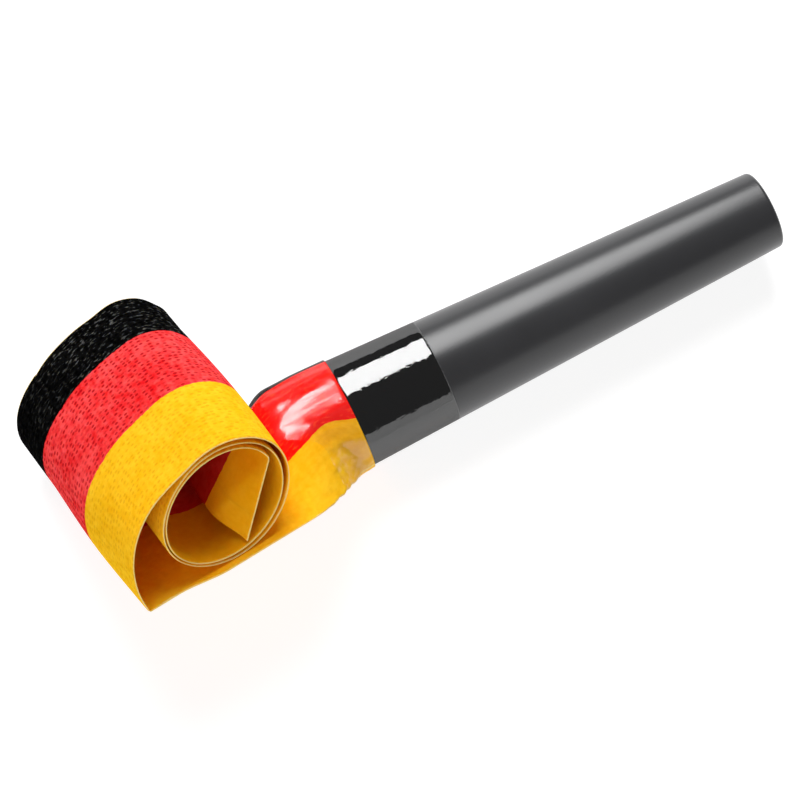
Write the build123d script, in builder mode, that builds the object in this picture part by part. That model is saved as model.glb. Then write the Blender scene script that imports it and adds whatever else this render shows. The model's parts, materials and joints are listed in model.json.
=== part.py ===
from build123d import *
import os
from collections import namedtuple
from math import cos, radians, sin

# Party horn blower: a tapered plastic mouthpiece with a reed in it, and a flat paper tube that is
# taped over the thick end and springs back into a roll. Millimetres. The origin is the middle of
# the mouth end, +X runs out of the mouth along the tube, and +Z is up as the blower lies on a table.

# Mouthpiece tube
tube_length = 66.0
mouth_radius = 5.3
thick_radius = 7.6
thick_wall = 1.0
mouth_wall = 1.0
mouth_bore_length = 12.0
lip_round = 0.45

# Reed unit, pushed into the thick end
flange_thickness = 1.0
flange_inset = 0.15
plug_length = 6.0
plug_clearance = 0.05
nose_length = 15.0
nose_radius = 3.6
slot_width = 2.6
slot_depth = 2.2
slot_end_wall = 2.0
slot_root_wall = 2.6
air_hole_radius = 1.5
tongue_lap = 1.2
tongue_thickness = 0.15
tongue_corner = 1.0
tongue_tip_setback = 1.0
tongue_rest_gap = 0.05
clip_length = 2.6
clip_wall = 1.16
clip_clearance = 0.04

# Paper tube, pressed flat
strip_width = 36.4
strip_thickness = 0.46
ply = 0.13
sleeve_lap = 4.9
sleeve_wall = 0.35
sleeve_clearance = 0.06
neck_clearance = 0.5
flare_length = 6.0
neck_lens = 0.45
neck_wall = 0.28
run_overlap = 1.0

# How the flat tube leaves the mouthpiece: askew, above the axis, and leaning as it lies
skew = 7.4
lean = 36.0
strip_shift = 0.5
strip_rise = 3.6

# The roll: a level run, a crease, a gentle side, a flatter top, an oval coil and a free flap
run_length = 24.0
crease_bend = 80.0
side_radius = 13.2
side_sweep = 56.0
side_pieces = 2
top_radius = 16.5
top_sweep = 30.0
coil_radius = 7.9
coil_oval = 1.3
coil_oval_direction = 30.0
coil_pitch = 0.95
coil_sweep = 816.0
coil_pieces = 14
flap_length = 8.2
flap_bend = 42.0
lead = 0.4
end_gap = 0.04

# Recoil strip inside the paper tube, and the folded end that closes it
recoil_width = 3.0
recoil_thickness = 0.12
recoil_setback = 1.0
fold_length = 3.5
fold_clearance = 0.03

# Clear film over the joint
film_over_tube = 12.6
film_over_paper = 4.1
film_thickness = 0.12
film_clearance = 0.04

mouth_bore_radius = mouth_radius - mouth_wall
os.makedirs("parts", exist_ok=True)


def finish(piece, name):
    """Name a finished piece and write it."""
    piece.part.label = name
    export_step(piece.part, f"parts/{name}.step")


def tube_radius(x):
    """Outside radius of the mouthpiece at a place along the axis."""
    return mouth_radius + (thick_radius - mouth_radius) * (-x) / tube_length


def bore_radius(x):
    """Inside radius of the mouthpiece behind its straight mouth bore."""
    share = (-x - mouth_bore_length) / (tube_length - mouth_bore_length)
    return mouth_bore_radius + (thick_radius - thick_wall - mouth_bore_radius) * share


# The mouthpiece: a tapered tube with a straight bore at the mouth and a rounded lip
with BuildPart() as mouthpiece_tube:
    with BuildSketch(Plane.XZ):
        with BuildLine():
            Polyline(
                (0, mouth_bore_radius),
                (0, mouth_radius),
                (-tube_length, thick_radius),
                (-tube_length, thick_radius - thick_wall),
                (-mouth_bore_length, mouth_bore_radius),
                close=True,
            )
        make_face()
    revolve(axis=Axis.X)
    lip_edge = mouthpiece_tube.edges().group_by(Axis.X)[-1].sort_by(SortBy.RADIUS)[-1]
    fillet(lip_edge, radius=min(lip_round, mouth_wall / 2))
finish(mouthpiece_tube, "mouthpiece_tube")

# The reed holder: a flange on the tube's end, a tapered plug, and a half-round nose with a slot
# in its flat face. The slot leads to an air hole that opens into the paper.
plug_front = plug_length - tube_length
nose_tip = plug_front + nose_length
slot_front = nose_tip - slot_end_wall
slot_back = plug_front + slot_root_wall
air_hole_middle = -slot_depth + air_hole_radius / 2
flange_back = -tube_length - flange_thickness

with BuildPart() as reed_holder:
    with BuildSketch(Plane.XZ):
        with BuildLine():
            Polyline(
                (flange_back, 0),
                (flange_back, thick_radius - flange_inset),
                (-tube_length, thick_radius - flange_inset),
                (-tube_length, bore_radius(-tube_length) - plug_clearance),
                (plug_front, bore_radius(plug_front) - plug_clearance),
                (plug_front, 0),
                close=True,
            )
        make_face()
    revolve(axis=Axis.X)
    with BuildSketch(Plane.YZ.offset(plug_front)):
        Circle(nose_radius)
        with Locations((0, nose_radius)):
            Rectangle(2 * nose_radius, 2 * nose_radius, mode=Mode.SUBTRACT)
    extrude(amount=nose_length)
    with BuildSketch(Plane.XY):
        with Locations(((slot_front + slot_back) / 2, 0)):
            Rectangle(slot_front - slot_back, slot_width)
    extrude(amount=-slot_depth, mode=Mode.SUBTRACT)
    with BuildSketch(Plane.YZ.offset(flange_back)):
        with Locations((0, air_hole_middle)):
            Circle(air_hole_radius)
    extrude(amount=slot_back - flange_back + air_hole_radius, mode=Mode.SUBTRACT)
finish(reed_holder, "reed_holder")

# The reed tongue: its root lies on the nose under the clip, and its blade covers the slot
clip_back = plug_front + clip_clearance
clip_front = clip_back + clip_length
tongue_tip = nose_tip - tongue_tip_setback
tongue_width = slot_width + 2 * tongue_lap

with BuildPart() as reed_tongue_root:
    with BuildSketch(Plane.XY):
        with Locations(((clip_back + clip_front) / 2, 0)):
            Rectangle(clip_length, tongue_width)
    extrude(amount=tongue_thickness)
finish(reed_tongue_root, "reed_tongue_root")

blade_back = clip_front + tongue_rest_gap
with BuildPart() as reed_tongue:
    with BuildSketch(Plane.XY.offset(tongue_rest_gap)):
        with Locations(((blade_back + tongue_tip) / 2, 0)):
            Rectangle(tongue_tip - blade_back, tongue_width)
    extrude(amount=tongue_thickness)
    tip_edges = reed_tongue.edges().filter_by(Axis.Z).group_by(Axis.X)[-1]
    fillet(tip_edges, radius=min(tongue_corner, tongue_lap))
finish(reed_tongue, "reed_tongue")

# The reed clip: a collar that presses the root of the tongue onto the nose
clip_radius = nose_radius + clip_clearance + clip_wall
with BuildPart() as reed_clip:
    with BuildSketch(Plane.YZ.offset(clip_back)):
        Circle(clip_radius)
        with BuildSketch(mode=Mode.PRIVATE) as nose_passage:
            Circle(nose_radius + clip_clearance)
            with Locations((0, clip_radius)):
                Rectangle(2 * clip_radius, 2 * clip_radius, mode=Mode.SUBTRACT)
            with Locations((0, (tongue_thickness + clip_clearance) / 2)):
                Rectangle(tongue_width + 2 * clip_clearance, tongue_thickness + clip_clearance)
        add(nose_passage.sketch, mode=Mode.SUBTRACT)
    extrude(amount=clip_length)
finish(reed_clip, "reed_clip")

# The plane that the roll winds in: local x runs back to the mouth, local y stands on the strip,
# and the plane faces the near edge of the paper. Local zero is where the flare ends.
neck_back = flange_back - neck_clearance
flare_end = neck_back - flare_length
run_direction = Vector(1, 0, 0).rotate(Axis.Z, skew).rotate(Axis.X, -lean)
near_direction = Vector(0, -1, 0).rotate(Axis.Z, skew).rotate(Axis.X, -lean)
strip_middle = Vector(flare_end, strip_shift, strip_rise).rotate(Axis.X, -lean)
roll_plane = Plane(origin=strip_middle, x_dir=run_direction, z_dir=near_direction)
strip_section = Plane(origin=strip_middle, x_dir=-near_direction, z_dir=-run_direction)

half_strip = strip_thickness / 2
half_cavity = half_strip - ply
half_recoil = recoil_thickness / 2


def heading(angle):
    """Unit vector in the roll's plane at an angle in degrees."""
    return Vector(cos(radians(angle)), sin(radians(angle)))


def outward(angle):
    """Unit vector to the outside of the roll from a strip that heads that way."""
    return heading(angle + 90)


# One stretch of the strip: a short straight lead, an arc that turns inward, and a lead again.
# The strip bends by bend_in where the stretch starts and by bend_out where it ends.
Stretch = namedtuple("Stretch", "start angle radius sweep straight bend_in bend_out")


def stretch_end(stretch):
    """Where a stretch ends on the strip's middle line, and which way it heads there."""
    if not stretch.sweep:
        return stretch.start + heading(stretch.angle) * stretch.straight, stretch.angle
    arc_start = stretch.start + heading(stretch.angle) * lead
    centre = arc_start - outward(stretch.angle) * stretch.radius
    end_angle = stretch.angle - stretch.sweep
    arc_end = centre + outward(end_angle) * stretch.radius
    return arc_end + heading(end_angle) * lead, end_angle


def face_offset(angle, bend, half):
    """From the middle line to the outer edge of a mitred end face, for a strip that bends there."""
    return outward(angle) * (half / cos(radians(bend / 2)))


def draw_stretch(stretch, half, trim):
    """Draw the closed outline of a stretch, with its ends cut back by trim."""
    end, end_angle = stretch_end(stretch)
    start_offset = face_offset(stretch.angle + stretch.bend_in / 2, stretch.bend_in, half)
    end_offset = face_offset(end_angle - stretch.bend_out / 2, stretch.bend_out, half)
    first = stretch.start + heading(stretch.angle) * trim
    last = end - heading(end_angle) * trim
    if not stretch.sweep:
        outer = (first + start_offset, last + end_offset)
        inner = (last - end_offset, first - start_offset)
        Polyline(*outer, *inner, close=True)
        return
    centre = stretch.start + heading(stretch.angle) * lead - outward(stretch.angle) * stretch.radius
    middle_angle = stretch.angle - stretch.sweep / 2
    ends = {}
    for side in (1, -1):
        reach = stretch.radius + side * half
        arc_start = centre + outward(stretch.angle) * reach
        arc_end = centre + outward(end_angle) * reach
        Line(first + start_offset * side, arc_start)
        ThreePointArc(arc_start, centre + outward(middle_angle) * reach, arc_end)
        Line(arc_end, last + end_offset * side)
        ends[side] = (first + start_offset * side, last + end_offset * side)
    Line(ends[1][0], ends[-1][0])
    Line(ends[1][1], ends[-1][1])


# Walk along the strip from the crease to the flap
run = Stretch(Vector(run_overlap, 0), 180.0, 0, 0, run_overlap + run_length, 0, crease_bend)
stretches = []
point, angle = stretch_end(run)
angle -= crease_bend
bend = crease_bend
turns = [(side_radius, side_sweep / side_pieces)] * side_pieces + [(top_radius, top_sweep)]
for radius, sweep in turns:
    stretches.append(Stretch(point, angle, radius, sweep, 0, bend, 0))
    point, angle = stretch_end(stretches[-1])
    bend = 0
coil_step = coil_sweep / coil_pieces
for number in range(coil_pieces):
    facing = angle + 90 - coil_step / 2
    oval = coil_oval * cos(radians(2 * (facing - coil_oval_direction)))
    radius = coil_radius - oval - coil_pitch * (number + 0.5) * coil_step / 360
    bend_out = flap_bend if number == coil_pieces - 1 else 0
    stretches.append(Stretch(point, angle, radius, coil_step, 0, 0, bend_out))
    point, angle = stretch_end(stretches[-1])
stretches.append(Stretch(point, angle - flap_bend, 0, 0, flap_length, flap_bend, 0))

# The paper's fixed part: a sleeve round the tube, a flare, and the level run up to the crease
sleeve_start = tube_length - sleeve_lap
sleeve_radius = thick_radius + sleeve_clearance + sleeve_wall
across = Vector(0, 1, 0).rotate(Axis.X, -lean)
circle_plane = Plane(origin=(neck_back, 0, 0), x_dir=across, z_dir=(-1, 0, 0))
with BuildPart() as paper_neck:
    with BuildSketch(circle_plane):
        Circle(sleeve_radius)
    with BuildSketch(strip_section):
        Ellipse(strip_width / 2, neck_lens)
    loft()
    with BuildSketch(circle_plane):
        Circle(sleeve_radius - sleeve_wall)
    with BuildSketch(strip_section):
        Ellipse(strip_width / 2 - neck_wall, neck_lens - neck_wall)
    loft(mode=Mode.SUBTRACT)
    with BuildSketch(Plane.XZ):
        with BuildLine():
            Polyline(
                (-sleeve_start, tube_radius(-sleeve_start) + sleeve_clearance),
                (-sleeve_start, tube_radius(-sleeve_start) + sleeve_clearance + sleeve_wall),
                (-tube_length, sleeve_radius),
                (neck_back, sleeve_radius),
                (neck_back, sleeve_radius - sleeve_wall),
                (-tube_length, sleeve_radius - sleeve_wall),
                close=True,
            )
        make_face()
    revolve(axis=Axis.X)
    with BuildSketch(roll_plane):
        with BuildLine():
            draw_stretch(run, half_strip, end_gap / 2)
        make_face()
    extrude(amount=strip_width / 2, both=True)
    with BuildSketch(roll_plane):
        with BuildLine():
            draw_stretch(run, half_cavity, -end_gap)
        make_face()
    extrude(amount=strip_width / 2 - ply, both=True, mode=Mode.SUBTRACT)
finish(paper_neck, "paper_neck")

# The recoil strip's root lies in the level run
recoil_root_run = run._replace(start=Vector(-recoil_setback, 0), straight=run_length - recoil_setback)
with BuildPart() as recoil_strip_root:
    with BuildSketch(roll_plane):
        with BuildLine():
            draw_stretch(recoil_root_run, half_recoil, end_gap / 2)
        make_face()
    extrude(amount=recoil_width / 2, both=True)
finish(recoil_strip_root, "recoil_strip_root")

# The rolled paper: one hollow flat piece for each stretch, with its own piece of recoil strip
for number, stretch in enumerate(stretches, start=1):
    with BuildPart() as paper_turn:
        with BuildSketch(roll_plane):
            with BuildLine():
                draw_stretch(stretch, half_strip, end_gap / 2)
            make_face()
        extrude(amount=strip_width / 2, both=True)
        with BuildSketch(roll_plane):
            with BuildLine():
                draw_stretch(stretch, half_cavity, -end_gap)
            make_face()
        extrude(amount=strip_width / 2 - ply, both=True, mode=Mode.SUBTRACT)
    finish(paper_turn, f"paper_turn_{number:02d}")

    with BuildPart() as recoil_strip:
        with BuildSketch(roll_plane):
            with BuildLine():
                draw_stretch(stretch, half_recoil, end_gap / 2)
            make_face()
        extrude(amount=recoil_width / 2, both=True)
    finish(recoil_strip, f"recoil_strip_{number:02d}")

# The end fold: a strip of the same paper glued round the free end to close the tube
flap = stretches[-1]
flap_tip, flap_angle = stretch_end(flap)
fold_start = flap_tip - heading(flap_angle) * fold_length
fold_reach = Stretch(fold_start, flap_angle, 0, 0, fold_length + fold_clearance + ply, 0, 0)
fold_inside = Stretch(fold_start, flap_angle, 0, 0, fold_length + fold_clearance, 0, 0)
with BuildPart() as end_fold:
    with BuildSketch(roll_plane):
        with BuildLine():
            draw_stretch(fold_reach, half_strip + fold_clearance + ply, 0)
        make_face()
        with BuildLine():
            draw_stretch(fold_inside, half_strip + fold_clearance, 0)
        make_face(mode=Mode.SUBTRACT)
    extrude(amount=strip_width / 2, both=True)
finish(end_fold, "end_fold")

# The clear film: wound over the tube, down the paper's cut edge and along the sleeve
film_start = sleeve_start - film_over_tube
film_end = sleeve_start + film_over_paper
paper_edge_radius = tube_radius(-sleeve_start) + sleeve_clearance + sleeve_wall
sleeve_slope = (sleeve_radius - paper_edge_radius) / (tube_length - sleeve_start)
film_end_radius = paper_edge_radius + sleeve_slope * (film_end - sleeve_start)
film_step = -sleeve_start + film_clearance
with BuildPart() as tape_band:
    with BuildSketch(Plane.XZ):
        with BuildLine():
            Polyline(
                (-film_start, tube_radius(-film_start) + film_clearance),
                (film_step, tube_radius(film_step) + film_clearance),
                (film_step, paper_edge_radius + film_clearance),
                (-film_end, film_end_radius + film_clearance),
                (-film_end, film_end_radius + film_clearance + film_thickness),
                (film_step + film_thickness, paper_edge_radius + film_clearance + film_thickness),
                (film_step + film_thickness, tube_radius(film_step) + film_clearance + film_thickness),
                (-film_start, tube_radius(-film_start) + film_clearance + film_thickness),
                close=True,
            )
        make_face()
    revolve(axis=Axis.X)
finish(tape_band, "tape_band")
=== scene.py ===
import json
from math import acos, atan2, cos, exp, pi, radians, sin, sqrt, tan

import bmesh
import bpy
from mathutils import Matrix, Vector, noise


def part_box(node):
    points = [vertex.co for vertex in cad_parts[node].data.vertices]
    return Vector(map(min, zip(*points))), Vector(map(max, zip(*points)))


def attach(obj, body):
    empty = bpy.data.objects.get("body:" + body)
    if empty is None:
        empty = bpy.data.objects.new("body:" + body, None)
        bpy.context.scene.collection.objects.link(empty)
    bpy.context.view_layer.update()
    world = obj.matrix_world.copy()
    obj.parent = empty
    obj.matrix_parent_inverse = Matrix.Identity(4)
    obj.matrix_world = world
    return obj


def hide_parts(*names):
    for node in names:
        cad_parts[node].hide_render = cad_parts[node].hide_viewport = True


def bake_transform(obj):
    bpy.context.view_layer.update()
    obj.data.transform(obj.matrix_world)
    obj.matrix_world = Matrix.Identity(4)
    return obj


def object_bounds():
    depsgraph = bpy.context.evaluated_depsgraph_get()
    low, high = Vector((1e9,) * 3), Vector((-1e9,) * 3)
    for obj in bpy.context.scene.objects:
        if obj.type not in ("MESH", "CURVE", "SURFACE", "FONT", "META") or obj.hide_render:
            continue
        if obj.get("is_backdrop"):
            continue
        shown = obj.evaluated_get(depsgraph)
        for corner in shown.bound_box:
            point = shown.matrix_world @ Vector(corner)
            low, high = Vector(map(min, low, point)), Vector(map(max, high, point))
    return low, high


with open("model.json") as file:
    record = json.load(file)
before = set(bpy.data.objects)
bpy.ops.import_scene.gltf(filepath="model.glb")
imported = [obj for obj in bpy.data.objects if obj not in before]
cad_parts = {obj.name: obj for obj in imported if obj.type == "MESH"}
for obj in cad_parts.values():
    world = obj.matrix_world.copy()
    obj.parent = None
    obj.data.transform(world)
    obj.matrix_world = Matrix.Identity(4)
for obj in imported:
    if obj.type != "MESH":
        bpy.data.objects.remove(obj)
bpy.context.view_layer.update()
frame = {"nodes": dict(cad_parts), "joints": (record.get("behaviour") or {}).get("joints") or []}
mm = 0.001


# Mouthpiece: one tapered tube, moulded in dark grey plastic with a satin skin and a rounded lip.
# The glue of the clear film wets the skin at the thick end: it is darker there, and the film shines.
mouth_radius = 5.3 * mm
mouth_wall = 1.0 * mm
mouth_bore_length = 12 * mm
thick_wall = 1.0 * mm
lip_round = 0.45 * mm
film_front = -48.5 * mm
tube_low, tube_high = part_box("mouthpiece_tube")
tube_length = tube_high.x - tube_low.x
thick_radius = tube_high.z


def srgb(red, green, blue):
    """A colour as it looks on screen, 0 to 255, turned into the renderer's linear values."""
    shares = [value / 255 for value in (red, green, blue)]
    linear = [s / 12.92 if s < 0.04045 else ((s + 0.055) / 1.055) ** 2.4 for s in shares]
    return (*linear, 1)


class Wire:
    """One value in a material. Sums and products of wires add their own Math nodes."""

    def __init__(self, tree, socket=None):
        self.tree = tree
        self.socket = socket

    def node(self, kind, settings=None, inputs=None, output=0):
        """Add any node: its settings first, then the values or wires of its sockets."""
        made = self.tree.nodes.new(kind)
        for name, value in (settings or {}).items():
            setattr(made, name, value)
        for name, value in (inputs or {}).items():
            if isinstance(value, Wire):
                self.tree.links.new(value.socket, made.inputs[name])
            else:
                made.inputs[name].default_value = value
        return Wire(self.tree, made.outputs[output] if len(made.outputs) else None)

    def math(self, operation, *values):
        return self.node("ShaderNodeMath", {"operation": operation}, dict(enumerate(values)))

    def __add__(self, other):
        return self.math("ADD", self, other)

    def __sub__(self, other):
        return self.math("SUBTRACT", self, other)

    def __rsub__(self, other):
        return self.math("SUBTRACT", other, self)

    def __mul__(self, other):
        return self.math("MULTIPLY", self, other)

    def __truediv__(self, other):
        return self.math("DIVIDE", self, other)

    def __pow__(self, other):
        return self.math("POWER", self, other)

    __radd__ = __add__
    __rmul__ = __mul__

    def rise(self, low, high):
        """0 below low, 1 above high and a smooth rise between them."""
        inputs = {"Value": self, "From Min": low, "From Max": high}
        return self.node("ShaderNodeMapRange", {"interpolation_type": "SMOOTHSTEP"}, inputs)

    def noise(self, scale, detail=2.0, rough=0.5):
        """A cloudy value from 0 to 1 over this vector."""
        inputs = {"Vector": self, "Scale": scale, "Detail": detail, "Roughness": rough}
        return self.node("ShaderNodeTexNoise", None, inputs)

    def tint(self, first, second):
        """The first colour where this is 0 and the second where it is 1."""
        return self.node("ShaderNodeMix", {"data_type": "RGBA"}, {0: self, 6: first, 7: second}, 2)

    def bump(self, distance, strength=1.0):
        """A surface that stands up by this height times the distance."""
        inputs = {"Height": self, "Distance": distance, "Strength": strength}
        return self.node("ShaderNodeBump", None, inputs)

    def axis(self, index):
        return self.node("ShaderNodeSeparateXYZ", None, {0: self}, index)

    def stretch(self, *factors):
        """This vector with each of its axes scaled."""
        return self.node("ShaderNodeVectorMath", {"operation": "MULTIPLY"}, {0: self, 1: factors})

    def shader(self, **inputs):
        """A Principled shader, with its sockets named with underscores."""
        sockets = {name.replace("_", " "): value for name, value in inputs.items()}
        return self.node("ShaderNodeBsdfPrincipled", None, sockets)

    def finish(self, shader):
        self.node("ShaderNodeOutputMaterial", None, {"Surface": shader})


def surface(start, **inputs):
    """Finish a material with one Principled shader."""
    start.finish(start.shader(**inputs))


def new_material(name):
    """An empty material and the wire that its nodes start from."""
    material = bpy.data.materials.new(name)
    material.use_nodes = True
    material.node_tree.nodes.clear()
    return material, Wire(material.node_tree)


def new_piece(name, bm, material, smooth=True):
    """Make an object of a finished bmesh."""
    mesh = bpy.data.meshes.new(name)
    for face in bm.faces:
        face.smooth = smooth
    bm.to_mesh(mesh)
    bm.free()
    mesh.materials.append(material)
    piece = bpy.data.objects.new(name, mesh)
    bpy.context.scene.collection.objects.link(piece)
    return piece


dark_grey = srgb(44, 44, 46)
light_grey = srgb(54, 54, 56)
wet_black = srgb(7, 7, 8)
film_edge = 0.1 * mm
grain_height = 0.02 * mm
steps_round = 160
satin_plastic, start = new_material("satin_plastic")
place = start.node("ShaderNodeTexCoord", output=3)
under_film = place.axis(0).rise(film_front + film_edge, film_front - film_edge)
grain = place.noise(2600, 3)
smudge = place.noise(90, 3, 0.6)
dry = start.shader(
    Base_Color=smudge.tint(dark_grey, light_grey),
    Roughness=0.28 + 0.08 * smudge,
    Specular_IOR_Level=0.6,
    Normal=grain.bump(grain_height, 0.35),
)
wet = start.shader(Base_Color=wet_black, Roughness=0.5, Specular_IOR_Level=0.0)
start.finish(start.node("ShaderNodeMixShader", None, {0: under_film, 1: dry, 2: wet}))

bm = bmesh.new()
profile = [
    (0, mouth_radius - mouth_wall),
    (0, mouth_radius),
    (-tube_length, thick_radius),
    (-tube_length, thick_radius - thick_wall),
    (-mouth_bore_length, mouth_radius - mouth_wall),
]
corners = [bm.verts.new((x, 0, radius)) for x, radius in profile]
bm.faces.new(corners)
bmesh.ops.bevel(
    bm,
    geom=[corners[0], corners[1]],
    offset=lip_round,
    segments=6,
    profile=0.5,
    affect="VERTICES",
    material=-1,
)
bmesh.ops.delete(bm, geom=list(bm.faces), context="FACES_ONLY")
bmesh.ops.spin(
    bm,
    geom=list(bm.verts) + list(bm.edges),
    cent=(0, 0, 0),
    axis=(1, 0, 0),
    angle=2 * pi,
    steps=steps_round,
    use_merge=True,
)
bmesh.ops.remove_doubles(bm, verts=list(bm.verts), dist=1e-7)
bmesh.ops.recalc_face_normals(bm, faces=list(bm.faces))
sharp_turn = radians(50)
for edge in bm.edges:
    edge.smooth = edge.calc_face_angle(0) < sharp_turn
mouthpiece = new_piece("mouthpiece", bm, satin_plastic)
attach(mouthpiece, "mouthpiece")
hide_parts("mouthpiece_tube")


# Reed unit: a white moulded holder with a slotted nose, a film tongue over the slot and a clip that
# holds the tongue's root. It is pushed into the thick end and shows only through the mouth.
white_dark = srgb(226, 225, 218)
white_light = srgb(238, 237, 232)
tongue_dark = srgb(196, 202, 206)
tongue_light = srgb(214, 219, 222)
tongue_wave = 0.03 * mm
white_plastic, start = new_material("white_plastic")
place = start.node("ShaderNodeTexCoord", output=3)
cloud = place.noise(300, 3)
surface(
    start,
    Base_Color=cloud.tint(white_dark, white_light),
    Roughness=0.3 + 0.15 * cloud,
    Normal=place.noise(2200, 2).bump(grain_height, 0.3),
)
tongue_film, start = new_material("tongue_film")
place = start.node("ShaderNodeTexCoord", output=3)
cloud = place.noise(400, 2)
surface(
    start,
    Base_Color=cloud.tint(tongue_dark, tongue_light),
    Roughness=0.16 + 0.12 * cloud,
    Normal=cloud.bump(tongue_wave, 0.3),
)
for node, material in (
    ("reed_holder", white_plastic),
    ("reed_clip", white_plastic),
    ("reed_tongue_root", tongue_film),
    ("reed_tongue", tongue_film),
):
    frame["nodes"][node].data.materials.clear()
    frame["nodes"][node].data.materials.append(material)


# Printed paper: one flat tube of thin embossed paper, printed yellow, red and black along its length.
# Its neck is gathered round the thick end of the mouthpiece, and its run lies level up to the crease.
# Its inner faces carry painted shade, and its black carries painted sheen specks.
paper_width = 36.4 * mm
paper_half = 0.12 * mm
cad_half = 0.23 * mm
yellow_width = 13.6 * mm
red_width = 13.6 * mm
inside_shift = 2.7 * mm
flap_shift = 3.2 * mm
run_print = (-24 * mm, -10 * mm)
coil_print = (95 * mm, 45 * mm)
flap_print = (130 * mm, 138 * mm)
glue_ends = (-20 * mm, -25 * mm)
shade_grows = (-4 * mm, 16 * mm)
# Where the painted sheen on the black grows and ends along the strip.
sheen_grows = (8 * mm, 22 * mm)
sheen_ends = (52 * mm, 42 * mm)
print_blur = 0.05 * mm
print_wander = 0.3 * mm
pit_across = 0.66 * mm
pit_along = 0.92 * mm
emboss_height = 0.06 * mm
cut_fades = (0.26 * mm, 0.08 * mm)
cut_fray = 0.2 * mm
scuff_depth = 0.25 * mm
crease_bend = radians(80)
paper_edge = -61.1 * mm
sleeve_gap = 0.25 * mm
near_turn = radians(-30)
far_turn = radians(186)
near_leaves = -60.5 * mm
near_flat = -72 * mm
near_bow = 1.0 * mm
bow_grown = -69 * mm
bow_stays = -84 * mm
bow_gone = -91 * mm
far_leaves = -67 * mm
far_flat = -88 * mm
core_ends = -69.5 * mm
core_gone = -79 * mm
seam_setback = 3 * mm
gathered_edge = 5 * mm
ripple_height = 0.06 * mm
wide_ripples = 61
fine_ripples = 97
ripple_drift = 11
crumple_height = 1.0 * mm
crumple_share = 0.16
wide_crumples = 480
fine_crumples = 1100
faces_across = 88
yellow_dark = srgb(240, 172, 14)
yellow_light = srgb(254, 194, 38)
yellow_pit = srgb(214, 140, 8)
# Painted shade colour of the yellow on the roll's inner faces.
yellow_painted_shade = srgb(240, 154, 0)
red_dark = srgb(222, 24, 28)
red_light = srgb(250, 80, 80)
red_pit = srgb(168, 6, 14)
# Painted shade colour of the red on the roll's inner faces.
red_painted_shade = srgb(160, 24, 5)
red_glued = srgb(242, 12, 2)
red_glued_light = srgb(252, 62, 22)
black_dark = srgb(3, 3, 3)
black_light = srgb(13, 13, 13)
# Painted sheen colour of the light specks on the black.
black_painted_sheen = srgb(84, 84, 82)
black_pit = srgb(1, 1, 1)
cut_paper = srgb(255, 220, 142)

hinges = [joint for joint in frame["joints"] if joint["name"].startswith("unroll")]
hinge_points = [Vector(joint["pos_m"]) for joint in hinges]
near = Vector(hinges[0]["axis"]).normalized()
to_mouth = (Vector((1, 0, 0)) - near * near.x).normalized()
off_strip = near.cross(to_mouth)
side_of_tube = (near - Vector((1, 0, 0)) * near.x).normalized()
strip_middle = hinge_points[0].dot(near)


def in_roll(point):
    """A point seen along the roll: its place along the run and its height off the strip."""
    return Vector((point.dot(to_mouth), point.dot(off_strip)))


def from_roll(flat, across):
    """The point at a place in the roll and a distance from the near edge of the paper."""
    depth = near * (strip_middle + paper_width / 2 - across)
    return to_mouth * flat.x + off_strip * flat.y + depth


def heading(angle):
    return Vector((cos(angle), sin(angle)))


def outward(angle):
    """The way to the outside of the roll from paper that heads this way."""
    return heading(angle + pi / 2)


def smooth_rise(value, low, high):
    share = min(1, max(0, (value - low) / (high - low)))
    return share * share * (3 - 2 * share)


def rounded_fold(across, half):
    """How far the two plies stand apart at a distance from the near edge, with both folds round."""
    edge = min(across, paper_width - across) / (2 * half)
    return half * sqrt(max(0, 1 - max(0, 1 - edge) ** 2))


def ring_of_paper(bm, half):
    """A flattened ring of paper: the outside of the roll from the near to the far edge, and back."""
    ring = bmesh.ops.create_circle(bm, segments=2 * faces_across, radius=1)["verts"]
    for number, vertex in enumerate(ring):
        share = number / faces_across
        side = 1 if share < 1 else -1
        share = share if share < 1 else 2 - share
        across = paper_width * ((1 - cos(pi * share)) / 2 * 0.25 + share * 0.75)
        vertex.co = (across, side * rounded_fold(across, half), 0)
    return ring


def face_outward(bm):
    """Turn every face outward, also on a tube with open ends."""
    bmesh.ops.recalc_face_normals(bm, faces=list(bm.faces))
    middle = sum((vertex.co for vertex in bm.verts), Vector()) / len(bm.verts)
    reach = sum(f.normal.dot(f.calc_center_median() - middle) * f.calc_area() for f in bm.faces)
    if reach < 0:
        bmesh.ops.reverse_faces(bm, faces=list(bm.faces))
    bm.normal_update()


def next_ring(bm, ring):
    """Extrude a ring of vertices and give the new one, in the same order."""
    edges = [bm.edges.get((a, b)) for a, b in zip(ring, ring[1:] + ring[:1])]
    made = bmesh.ops.extrude_edge_only(bm, edges=edges)["geom"]
    fresh = {v for v in made if isinstance(v, bmesh.types.BMVert)}
    return [next(e.other_vert(v) for e in v.link_edges if e.other_vert(v) in fresh) for v in ring]


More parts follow.
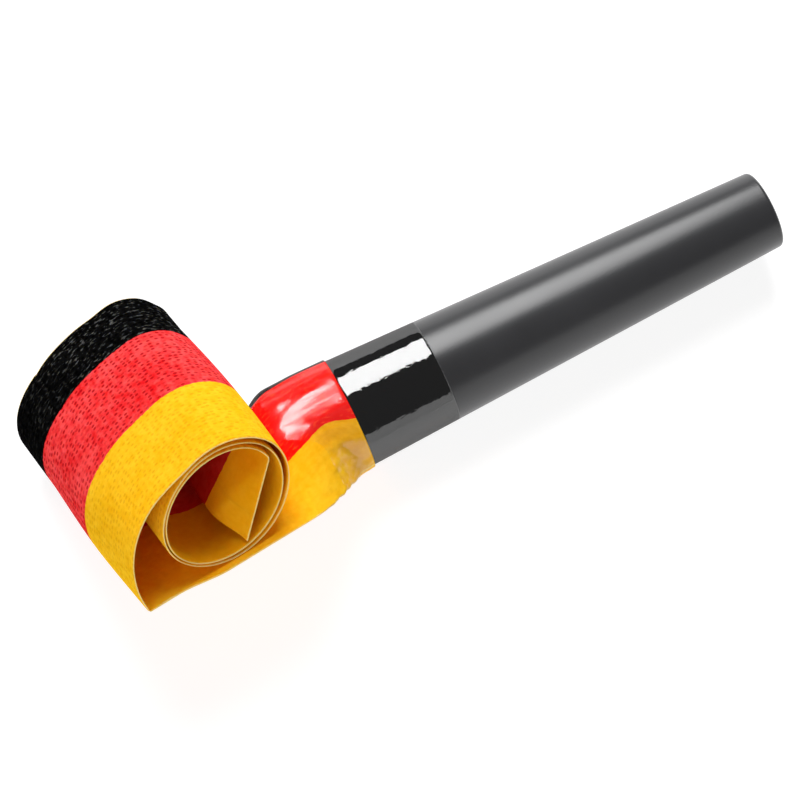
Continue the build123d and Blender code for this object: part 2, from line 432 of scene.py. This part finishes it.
paper_print, start = new_material("paper_print")
strip = start.node("ShaderNodeAttribute", {"attribute_name": "strip"}, output=1)
across = strip.axis(0)
along = strip.axis(1)
inside = strip.axis(2) / mm
ragged = strip.noise(1400, 2)
straight = along.rise(*run_print) * along.rise(*coil_print)
on_flap = along.rise(*flap_print)
shift = inside * ((1 - straight) * inside_shift + on_flap * flap_shift)
stripe = across + (ragged - 0.5) * print_wander + shift
cloud = strip.noise(140, 3, 0.6)
blotch = strip.noise(900, 2, 0.6)
fibre = strip.noise(2400, 3, 0.65)
weave = strip.stretch(2.2, 1, 1).noise(1000, 2)
flat_cells = {"voronoi_dimensions": "2D"}
cells = strip.stretch(1 / pit_across, 1 / pit_along, 0)
pit_places = {"Vector": cells, "Scale": 1.0, "Randomness": 0.5}
pits = start.node("ShaderNodeTexVoronoi", flat_cells, pit_places)
chance = start.node("ShaderNodeTexVoronoi", flat_cells, pit_places, 1)
kept = 0.3 + 0.7 * chance.axis(0).rise(0.05, 0.6)
dash = (1 - pits.rise(0.16, 0.4)) * kept * (1 - 0.85 * inside)
in_red = stripe.rise(yellow_width - print_blur, yellow_width + print_blur)
black_at = yellow_width + red_width
in_black = stripe.rise(black_at - print_blur, black_at + print_blur)
# Painted shade: from the crease on, the roll's inner faces are tinted a darker amber and dark red, with
# the red darkest on the flap.
painted_shade_inside = inside * along.rise(*shade_grows)
glued = inside * along.rise(*glue_ends)
mottle = (cloud * 0.45 + blotch * 0.55).rise(0.3, 0.7)
yellow = mottle.tint(yellow_dark, yellow_light)
yellow = (dash * 0.45).tint(yellow, yellow_pit)
yellow = (painted_shade_inside * 0.4).tint(yellow, yellow_painted_shade)
red = mottle.tint(red_dark, red_light)
red = (dash * 0.85).tint(red, red_pit)
red = (painted_shade_inside * (0.4 + 0.3 * on_flap)).tint(red, red_painted_shade)
red = (glued * 0.9).tint(red, weave.rise(0.52, 0.7).tint(red_glued, red_glued_light))
black = mottle.tint(black_dark, black_light)
# Painted sheen: light grey specks on the black, faint everywhere and strongest on the outer face of the
# stretch of the roll where the soft light falls.
lit_stretch_of_roll = along.rise(*sheen_grows) * along.rise(*sheen_ends)
painted_sheen_specks = weave.rise(0.52, 0.72) * cloud.rise(0.25, 0.6) * (0.15 + 0.85 * lit_stretch_of_roll * (1 - inside))
black = painted_sheen_specks.tint(black, black_painted_sheen)
black = (dash * 0.9).tint(black, black_pit)
inks = in_black.tint(in_red.tint(yellow, red), black)
to_edge = across.math("MINIMUM", across, paper_width - across)
scuff = cloud.rise(0.6, 0.72) * scuff_depth
cut = (to_edge + (fibre - 0.5) * cut_fray - scuff).rise(*cut_fades)
surface(
    start,
    Base_Color=(cut * 0.9).tint(inks, cut_paper),
    Roughness=0.55 + 0.2 * cloud,
    Specular_IOR_Level=0.0,
    Subsurface_Weight=0.4,
    Subsurface_Radius=(1, 0.6, 0.15),
    Subsurface_Scale=0.5 * mm,
    Normal=(fibre * 0.5 + cloud * 0.4 - dash).bump(emboss_height, 0.7),
)


def tube_radius(x):
    return mouth_radius + (thick_radius - mouth_radius) * min(-x / tube_length, 1)


def taut(near_fold, far_fold, centre, radius, share, side):
    """A point on paper pulled tight from fold to fold, over a round core or, at side -1, under it."""
    from_near = near_fold - centre
    from_far = far_fold - centre
    near_lean = acos(min(1, radius / from_near.length))
    far_lean = acos(min(1, radius / from_far.length))
    first = atan2(from_near.y, from_near.x) + side * near_lean
    last = atan2(from_far.y, from_far.x) % (2 * pi) - side * far_lean
    if side < 0:
        last -= 2 * pi
    arc = side * (last - first) * radius
    if arc <= 0:
        return near_fold.lerp(far_fold, share)
    leave = from_near.length * sin(near_lean)
    arrive = from_far.length * sin(far_lean)
    distance = share * (leave + arc + arrive)
    if distance < leave:
        return near_fold.lerp(centre + heading(first) * radius, distance / leave)
    if distance <= leave + arc:
        return centre + heading(first + side * (distance - leave) / radius) * radius
    return (centre + heading(last) * radius).lerp(far_fold, (distance - leave - arc) / arrive)


crease = in_roll(hinge_points[0])
run_height = crease.y + cad_half


def run_at(x, across):
    """Where the flat run would lie at this place along the tube, seen along the tube."""
    depth = strip_middle + paper_width / 2 - across
    along = (x - near.x * depth) / to_mouth.x
    return Vector((along * to_mouth.dot(side_of_tube) + depth * near.dot(side_of_tube), run_height))


def bowed(x, share):
    """How far the paper's near edge bows out beside the tube and along the run."""
    grown = smooth_rise(x, near_leaves, bow_grown) * smooth_rise(x, bow_gone, bow_stays)
    return near * near_bow * (1 - share) * grown


def neck_point(x, share, side):
    """A point of the neck, where share runs from the near to the far fold on the upper or lower ply."""
    sleeve = tube_radius(x) + sleeve_gap
    near_share = smooth_rise(x, near_leaves, near_flat)
    far_share = smooth_rise(x, far_leaves, far_flat)
    gone = smooth_rise(x, core_ends, core_gone)
    near_fold = (heading(near_turn) * sleeve).lerp(run_at(x, 0), near_share)
    far_fold = (heading(far_turn) * sleeve).lerp(run_at(x, paper_width), far_share)
    centre = Vector((0, run_height * gone))
    core = sleeve + (paper_half - sleeve) * gone
    flat = taut(near_fold, far_fold, centre, core, share, side)
    gather = sin(share * wide_ripples + 2.1 * sin(share * ripple_drift)) * 0.6
    gather += sin(share * fine_ripples + 1.3) * 0.4
    ripple = ripple_height * gather * smooth_rise(x, paper_edge, paper_edge - gathered_edge) * (1 - gone)
    crumple = noise.noise(Vector((x, flat.x, flat.y)) * wide_crumples) * 0.7
    crumple += noise.noise(flat.to_3d() * fine_crumples) * 0.3
    crumple *= crumple_height * exp(-((share / crumple_share) ** 2)) * 4 * near_share * (1 - near_share)
    flat += (flat - centre).normalized() * (ripple + crumple)
    flat.y += side * rounded_fold(share * paper_width, paper_half) * gone
    return Vector((x, 0, 0)) + side_of_tube * flat.x + off_strip * flat.y + bowed(x, share)


bm = bmesh.new()
place_on_paper = bm.verts.layers.float_vector.new("strip")
ring = ring_of_paper(bm, paper_half)
shares = [min(1, vertex.co.x / paper_width) for vertex in ring]
sides = [-1 if number < faces_across else 1 for number in range(len(ring))]
run_end = crease.x + seam_setback
neck_rings = 96
run_rings = 10
for number in range(neck_rings + run_rings + 1):
    if number:
        ring = next_ring(bm, ring)
    for vertex, share, side in zip(ring, shares, sides):
        done = min(number / neck_rings, 1)
        vertex.co = neck_point(paper_edge + (far_flat - paper_edge) * done, share, side)
        if number > neck_rings:
            pressed = run_height + side * rounded_fold(paper_width * share, paper_half)
            flat = in_roll(vertex.co).lerp(Vector((run_end, pressed)), (number - neck_rings) / run_rings)
            vertex.co = from_roll(flat, paper_width * share)
            vertex.co += bowed(vertex.co.x, share)
        inner = mm if side > 0 else 0
        vertex[place_on_paper] = (paper_width * share, crease.x - in_roll(vertex.co).x, inner)
face_outward(bm)
neck = new_piece("paper_neck_gathered", bm, paper_print)
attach(neck, "mouthpiece")
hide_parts("paper_neck")


# Rolled paper: the same flat tube from the crease to its free flap, wound up by the strip inside.
# It is one length of paper, made here as one piece for each hinge, the pieces meeting between the
# middles of two stretches.
crease_round = 0.5 * mm
flap_round = 1.2 * mm
flap_bend = radians(42)
flap_reach = 3.6 * mm
flap_twist = radians(12)
twist_depth = 5 * mm
twist_grows = (0.4 * mm, 4 * mm)
rings_in_half = 14
run_steps = 12
crease_steps = 8
side_steps = 16
last_arc_steps = 10
flap_fold_steps = 8
flap_steps = 14
flap_bends_until = last_arc_steps + flap_fold_steps + 4
seam_margin = 0.15 * mm
swell = 0.3 * mm
swell_each_turn = 0.37 * mm
sink = 0.8 * mm
forward = 0.2 * mm
oval = 0.27 * mm
crowding = 0.25 * mm
far_drop = 1.6 * mm
far_forward = 0.5 * mm
drop_starts = 2 * mm
bulge = 0.6 * mm
far_bulge = 0.5 * mm
crease_bow = 0.45 * mm
far_flats = 0.5 * mm
top_flat = radians(88)
top_flat_spread = radians(14)
front_flat = radians(32)
front_flat_spread = radians(12)
front_bulge = 0.4 * mm
front = radians(16)
front_spread = radians(30)
front_bulge_share = 0.85
crease_bow_share = 0.7
coil_middle = Vector((-83.2 * mm, 12.2 * mm))

points = [in_roll(point) for point in hinge_points]
route = []
angle = pi - crease_bend
turned = 0
for here, there in zip(points, points[1:]):
    chord = there - here
    sweep = 2 * (angle - atan2(chord.y, chord.x))
    sweep = (sweep + 2 * pi) % (4 * pi) - 2 * pi
    route.append((here, angle, chord.length / (2 * sin(sweep / 2)), sweep, turned))
    angle -= sweep
    turned += sweep
flap_heading = angle - flap_bend
flap_points = [in_roll(v.co) for v in frame["nodes"]["paper_turn_18"].data.vertices]
flap_length = max((p - points[-1]).dot(heading(flap_heading)) for p in flap_points) + flap_reach


def on_arc(stretch, share):
    """The outer face of the paper part of the way along a stretch, its heading and its turning."""
    here, angle, radius, sweep, turned = stretch
    centre = here - outward(angle) * radius
    now = angle - sweep * share
    return centre + outward(now) * radius, now, turned + sweep * share


def on_fold(corner, angle, bend, radius, share):
    """The outer face of the paper part of the way round a fold at a corner."""
    begin = corner - heading(angle) * radius * tan(bend / 2)
    now = angle - bend * share
    return begin - outward(angle) * radius + outward(now) * radius, now


coil_start = route[3][4]
whole_turn = route[-1][4] + route[-1][3]
roll_top = max(p.y for p in points)


def hump(turn, middle, spread):
    """1 in one direction from the middle of the roll, falling away to both sides of it."""
    return exp(-(((turn - middle) / spread) ** 2))


def settle(flat, across, turned):
    """How the windings lie: crowded and sunk a little, the far end lower and pressed flat on top."""
    share = across / paper_width
    held = flat
    if turned >= whole_turn:
        held = points[-1]
        arm = flat - held
        curl_ends = twist_depth * (0.2 + arm.length / flap_length)
        twist = flap_twist * smooth_rise(across, 0, curl_ends)
        twist *= smooth_rise(arm.length, *twist_grows)
        flat = held + Matrix.Rotation(-twist, 2) @ arm
    around = held - coil_middle
    turn = atan2(around.y, around.x)
    windings = max(0, turned - coil_start) / (2 * pi)
    grown = swell + swell_each_turn * windings + oval * sin(2 * turn)
    grown += (forward - crowding * windings) * cos(turn) - sink * sin(turn)
    flats = hump(turn, top_flat, top_flat_spread) + 0.6 * hump(turn, front_flat, front_flat_spread)
    grown -= far_flats * share**2 * flats
    grown += front_bulge * sin(pi * min(1, share / front_bulge_share)) * hump(turn, front, front_spread)
    grown *= smooth_rise(turned, route[2][4], coil_start)
    bow = 0
    if turned < route[2][4]:
        side_height = min(1, max(0, (flat.y - run_height - paper_half) / (points[2].y - crease.y)))
        grown += (bulge * smooth_rise(share, 0, 0.4) + far_bulge * share) * sin(pi * side_height)
        bow = crease_bow * sin(pi * min(1, share / crease_bow_share))
        bow *= smooth_rise(flat.x, run_end, crease.x)
        bow *= 1 - smooth_rise(side_height, 0, 0.6)
    height = smooth_rise(flat.y, crease.y + drop_starts, roll_top)
    lean = Vector((far_forward, -far_drop)) * height * share
    return flat + around.normalized() * grown + lean - Vector((bow, 0))


stations = {}
for number in range(1, len(points) + 1):
    line = []
    if number == 1:
        for step in range(run_steps):
            x = run_end + (crease.x + crease_round * tan(crease_bend / 2) - run_end) * step / run_steps
            line.append((Vector((x, crease.y)), pi, 0))
        for step in range(crease_steps + 1):
            line.append((*on_fold(crease, pi, crease_bend, crease_round, step / crease_steps), 0))
        lead = crease_round * tan(crease_bend / 2) / (route[0][2] * route[0][3])
        for step in range(1, side_steps + 1):
            line.append(on_arc(route[0], lead + (0.5 - lead) * step / side_steps))
    elif number < len(points):
        steps = [step / rings_in_half / 2 for step in range(rings_in_half + 1)]
        line += [on_arc(route[number - 2], 0.5 + step) for step in steps]
        line += [on_arc(route[number - 1], step) for step in steps[1:]]
    else:
        last = route[-1]
        trim = flap_round * tan(flap_bend / 2)
        stop = 1 - trim / (last[2] * last[3])
        for step in range(last_arc_steps + 1):
            line.append(on_arc(last, 0.5 + (stop - 0.5) * step / last_arc_steps))
        for step in range(1, flap_fold_steps + 1):
            bent = on_fold(points[-1], angle, flap_bend, flap_round, step / flap_fold_steps)
            line.append((*bent, whole_turn))
        for step in range(1, flap_steps + 1):
            reach = trim + (flap_length - trim) * step / flap_steps
            line.append((points[-1] + heading(flap_heading) * reach, flap_heading, whole_turn))
    stations[number] = line


def wind(bm, ring, line, travelled=0):
    """Carry a ring along a line of the roll, and note its vertices' places on the paper."""
    place_on_paper = bm.verts.layers.float_vector["strip"]
    section = [vertex.co.copy() for vertex in ring]
    first_ring = ring
    for step, (flat, angle_here, turned_here) in enumerate(line):
        if step:
            ring = next_ring(bm, ring)
            travelled += (flat - line[step - 1][0]).length
        inside = flat - outward(angle_here) * cad_half
        for vertex, shape in zip(ring, section):
            lifted = inside + outward(angle_here) * shape.y
            vertex.co = from_roll(settle(lifted, shape.x, turned_here), shape.x)
            vertex[place_on_paper] = (shape.x, travelled, mm if shape.y < 0 else 0)
    return first_ring, ring, travelled


def reaches(station, way):
    """How far along a way the paper lies at a station, from its near edge to its far one."""
    flat, _, turned_here = station
    edges = [paper_width * share / 4 for share in range(5)]
    return [from_roll(settle(flat, across, turned_here), across).dot(way) for across in edges]


def bend_at_hinge(piece, number):
    """Bake a piece of the roll into place; the span it would bend over at its hinge, between the middles
    of two stretches, is worked out but not used.
    """
    line = stations[number]
    before = "mouthpiece" if number == 1 else f"turn_{number - 1:02d}"
    hinge = hinge_points[number - 1]
    if number == 1:
        way = from_roll(heading(pi - crease_bend / 2), 0) - from_roll(Vector((0, 0)), 0)
        begins = hinge.dot(way) - crease_round * tan(crease_bend / 2)
        ends = hinge.dot(way) + crease_round * tan(crease_bend / 2)
    else:
        last = line[flap_bends_until] if number == len(points) else line[-1]
        way = (from_roll(last[0], 0) - from_roll(line[0][0], 0)).normalized()
        begins = max(reaches(line[0], way)) + seam_margin
        ends = min(reaches(last, way)) - seam_margin
    begin = hinge + way * (begins - hinge.dot(way))
    end = hinge + way * (ends - hinge.dot(way))
    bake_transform(piece)


travelled = -seam_setback
for number, line in stations.items():
    bm = bmesh.new()
    bm.verts.layers.float_vector.new("strip")
    _, ring, travelled = wind(bm, ring_of_paper(bm, paper_half), line, travelled)
    if number == len(points):
        bm.faces.new(ring)
    face_outward(bm)
    piece = new_piece(f"rolled_paper_{number:02d}", bm, paper_print)
    bend_at_hinge(piece, number)
    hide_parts(f"paper_turn_{number:02d}")


# Recoil strip: a narrow curled band of milky plastic film, loose inside the paper from the neck to the
# flap. Its memory rolls the paper up again.
recoil_width = 3 * mm
recoil_thickness = 0.12 * mm
recoil_rings_on_flap = 7
recoil_dark = srgb(214, 214, 208)
recoil_light = srgb(232, 232, 228)
recoil_plastic, start = new_material("recoil_plastic")
place = start.node("ShaderNodeTexCoord", output=3)
haze = place.noise(500, 3)
surface(
    start,
    Base_Color=haze.tint(recoil_dark, recoil_light),
    Roughness=0.25 + 0.15 * haze,
    Normal=haze.bump(grain_height, 0.3),
)
root_start = max(in_roll(v.co).x for v in frame["nodes"]["recoil_strip_root"].data.vertices)
root_line = [(Vector((root_start, crease.y)), pi, 0), (Vector((run_end, crease.y)), pi, 0)]
for number, line in {0: root_line, **stations}.items():
    bm = bmesh.new()
    bm.verts.layers.float_vector.new("strip")
    ring = bmesh.ops.create_circle(bm, segments=4, radius=1)["verts"]
    for vertex, (across, height) in zip(ring, ((-1, -1), (1, -1), (1, 1), (-1, 1))):
        vertex.co = (paper_width / 2 + across * recoil_width / 2, height * recoil_thickness / 2, 0)
    if number == len(points):
        line = line[: last_arc_steps + 1 + flap_fold_steps + recoil_rings_on_flap]
    first_ring, ring, _ = wind(bm, ring, line)
    bm.faces.new(first_ring)
    bm.faces.new(ring)
    face_outward(bm)
    piece = new_piece(f"recoil_band_{number:02d}", bm, recoil_plastic, smooth=False)
    if number:
        bend_at_hinge(piece, number)
        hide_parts(f"recoil_strip_{number:02d}")
    else:
        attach(piece, "mouthpiece")
        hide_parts("recoil_strip_root")


# End fold: a strip of the same thin printed paper, folded round the flap's free end and glued flat.
# It closes the paper tube, so that the breath can't escape and unrolls it.
fold_length = 3.5 * mm
fold_half = 0.15 * mm
fold_proud = 0.1 * mm
fold_steps = 8
bm = bmesh.new()
bm.verts.layers.float_vector.new("strip")
fold_line = []
for step in range(fold_steps + 1):
    reach = flap_length + fold_proud - fold_length * (1 - step / fold_steps)
    fold_line.append((points[-1] + heading(flap_heading) * reach, flap_heading, whole_turn))
_, ring, _ = wind(bm, ring_of_paper(bm, fold_half), fold_line, travelled - fold_length)
bm.faces.new(ring)
face_outward(bm)
piece = new_piece("end_fold_paper", bm, paper_print)
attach(piece, "turn_18")
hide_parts("end_fold")


# Clear film: one band of glossy adhesive film wound over the tube and the paper's cut edge.
# It is stuck flat on the plastic and lies a little uneven on the gathered paper.
film_back = -73 * mm
film_back_near = -66.5 * mm
film_gap = 0.03 * mm
film_thickness = 0.1 * mm
film_rings = 70
film_climbs = (paper_edge + 0.1 * mm, paper_edge - 0.4 * mm)
film_dulls = (paper_edge + 0.2 * mm, paper_edge - 0.4 * mm)
film_unevenness = 0.03 * mm
uneven_scale = 210
film_wave = 0.15 * mm
film_clear, start = new_material("film_clear")
place = start.node("ShaderNodeTexCoord", output=3)
on_paper = place.axis(0).rise(*film_dulls)
waves = place.noise(230, 2) + 0.4 * place.noise(1300, 2)
shine = start.shader(
    Base_Color=(1, 1, 1, 1),
    Metallic=1.0,
    Roughness=0.05 + 0.15 * on_paper,
    Normal=waves.bump(film_wave, 0.5),
)
facing = start.node("ShaderNodeLayerWeight", None, {"Blend": 0.5}, 1)
behind = start.node("ShaderNodeNewGeometry", output=6)
streaks = place.stretch(0.15, 1, 1).noise(700, 2).rise(0.35, 0.6)
mirror = (0.105 + 0.12 * facing ** 4.0) * (1 - behind) * (1 - on_paper * (0.8 - 0.6 * streaks))
clear = start.node("ShaderNodeBsdfTransparent")
film = start.node("ShaderNodeMixShader", None, {0: mirror, 1: clear, 2: shine})
start.finish(film)

bm = bmesh.new()
ring = ring_of_paper(bm, paper_half)
for number in range(film_rings + 1):
    if number:
        ring = next_ring(bm, ring)
    for vertex, share, side in zip(ring, shares, sides):
        turn = near_turn + (far_turn - near_turn) * share
        if side < 0:
            turn = near_turn - (2 * pi - far_turn + near_turn) * share
        back = film_back_near + (film_back - film_back_near) * smooth_rise(share, 0.2, 0.5)
        x = film_front + (back - film_front) * number / film_rings
        on_tube = (side_of_tube * cos(turn) + off_strip * sin(turn)) * tube_radius(x)
        over_paper = smooth_rise(x, *film_climbs)
        vertex.co = (Vector((x, 0, 0)) + on_tube).lerp(neck_point(x, share, side), over_paper)
face_outward(bm)
for vertex in bm.verts:
    uneven = noise.noise(vertex.co * uneven_scale) * film_unevenness
    vertex.co += vertex.normal * (film_gap + film_thickness + uneven)
bmesh.ops.solidify(bm, geom=list(bm.faces), thickness=film_thickness)
piece = new_piece("clear_film_band", bm, film_clear)
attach(piece, "mouthpiece")
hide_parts("tape_band")


# Table: a plain pale top under the blower in a pale room, with one large soft light behind it and dim
# cards in front and on the left. The camera stands almost over the blower, where the photo was taken.
floor_dark = srgb(168, 168, 168)
floor_light = srgb(172, 172, 172)
pure_white = (1, 1, 1, 1)
floor_white, start = new_material("floor_white")
place = start.node("ShaderNodeTexCoord", output=3)
surface(
    start,
    Base_Color=place.noise(6, 2).tint(floor_dark, floor_light),
    Roughness=0.8,
    Specular_IOR_Level=0.0,
    Emission_Color=pure_white,
    Emission_Strength=0.8,
)
table_size = 9.0
low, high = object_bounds()
bm = bmesh.new()
bmesh.ops.create_grid(bm, x_segments=1, y_segments=1, size=table_size / 2)
bmesh.ops.translate(bm, vec=(low.x / 2, 0, low.z), verts=list(bm.verts))
new_piece("table", bm, floor_white, smooth=False)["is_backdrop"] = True

world = bpy.data.worlds.new("dim_room")
world.use_nodes = True
world.node_tree.nodes.clear()
room = Wire(world.node_tree)
seen = room.node("ShaderNodeLightPath")
dim_light = room.node("ShaderNodeBackground", None, {"Color": pure_white, "Strength": 0.12})
pale_wall = room.node("ShaderNodeBackground", None, {"Color": pure_white, "Strength": 0.8})
walls = room.node("ShaderNodeMixShader", None, {0: seen, 1: dim_light, 2: pale_wall})
room.node("ShaderNodeOutputWorld", None, {"Surface": walls})
bpy.context.scene.world = world
bpy.context.scene.view_settings.view_transform = "Standard"


def soft_light(name, place, aim, width, height, radiance):
    """A rectangular soft light of an even brightness, turned to the aim."""
    data = bpy.data.lights.new(name, "AREA")
    data.shape = "RECTANGLE"
    data.size = width
    data.size_y = height
    data.energy = radiance * pi * width * height
    light = bpy.data.objects.new(name, data)
    light.location = place
    light.rotation_euler = (Vector(aim) - Vector(place)).to_track_quat("-Z", "Y").to_euler()
    bpy.context.scene.collection.objects.link(light)


aim = Vector((-0.05, 0, 0))
soft_light("back_softbox", (0.06, 0.36, 0.38), aim, width=0.3, height=0.42, radiance=9.0)
soft_light("front_card", (-0.1, -0.6, 0.12), aim, width=0.9, height=0.25, radiance=0.9)
soft_light("left_card", (-0.56, -0.42, 0.36), aim, width=0.5, height=0.4, radiance=3.9)

camera_data = bpy.data.cameras.new("photo_camera")
camera_data.lens = 126.85
camera_data.sensor_width = 36
camera = bpy.data.objects.new("photo_camera", camera_data)
camera.location = (-88.1 * mm, -75.95 * mm, 356.19 * mm)
camera.rotation_euler = (radians(12.926), radians(0.537), radians(-26.676))
bpy.context.scene.collection.objects.link(camera)
bpy.context.scene.camera = camera

low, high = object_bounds()
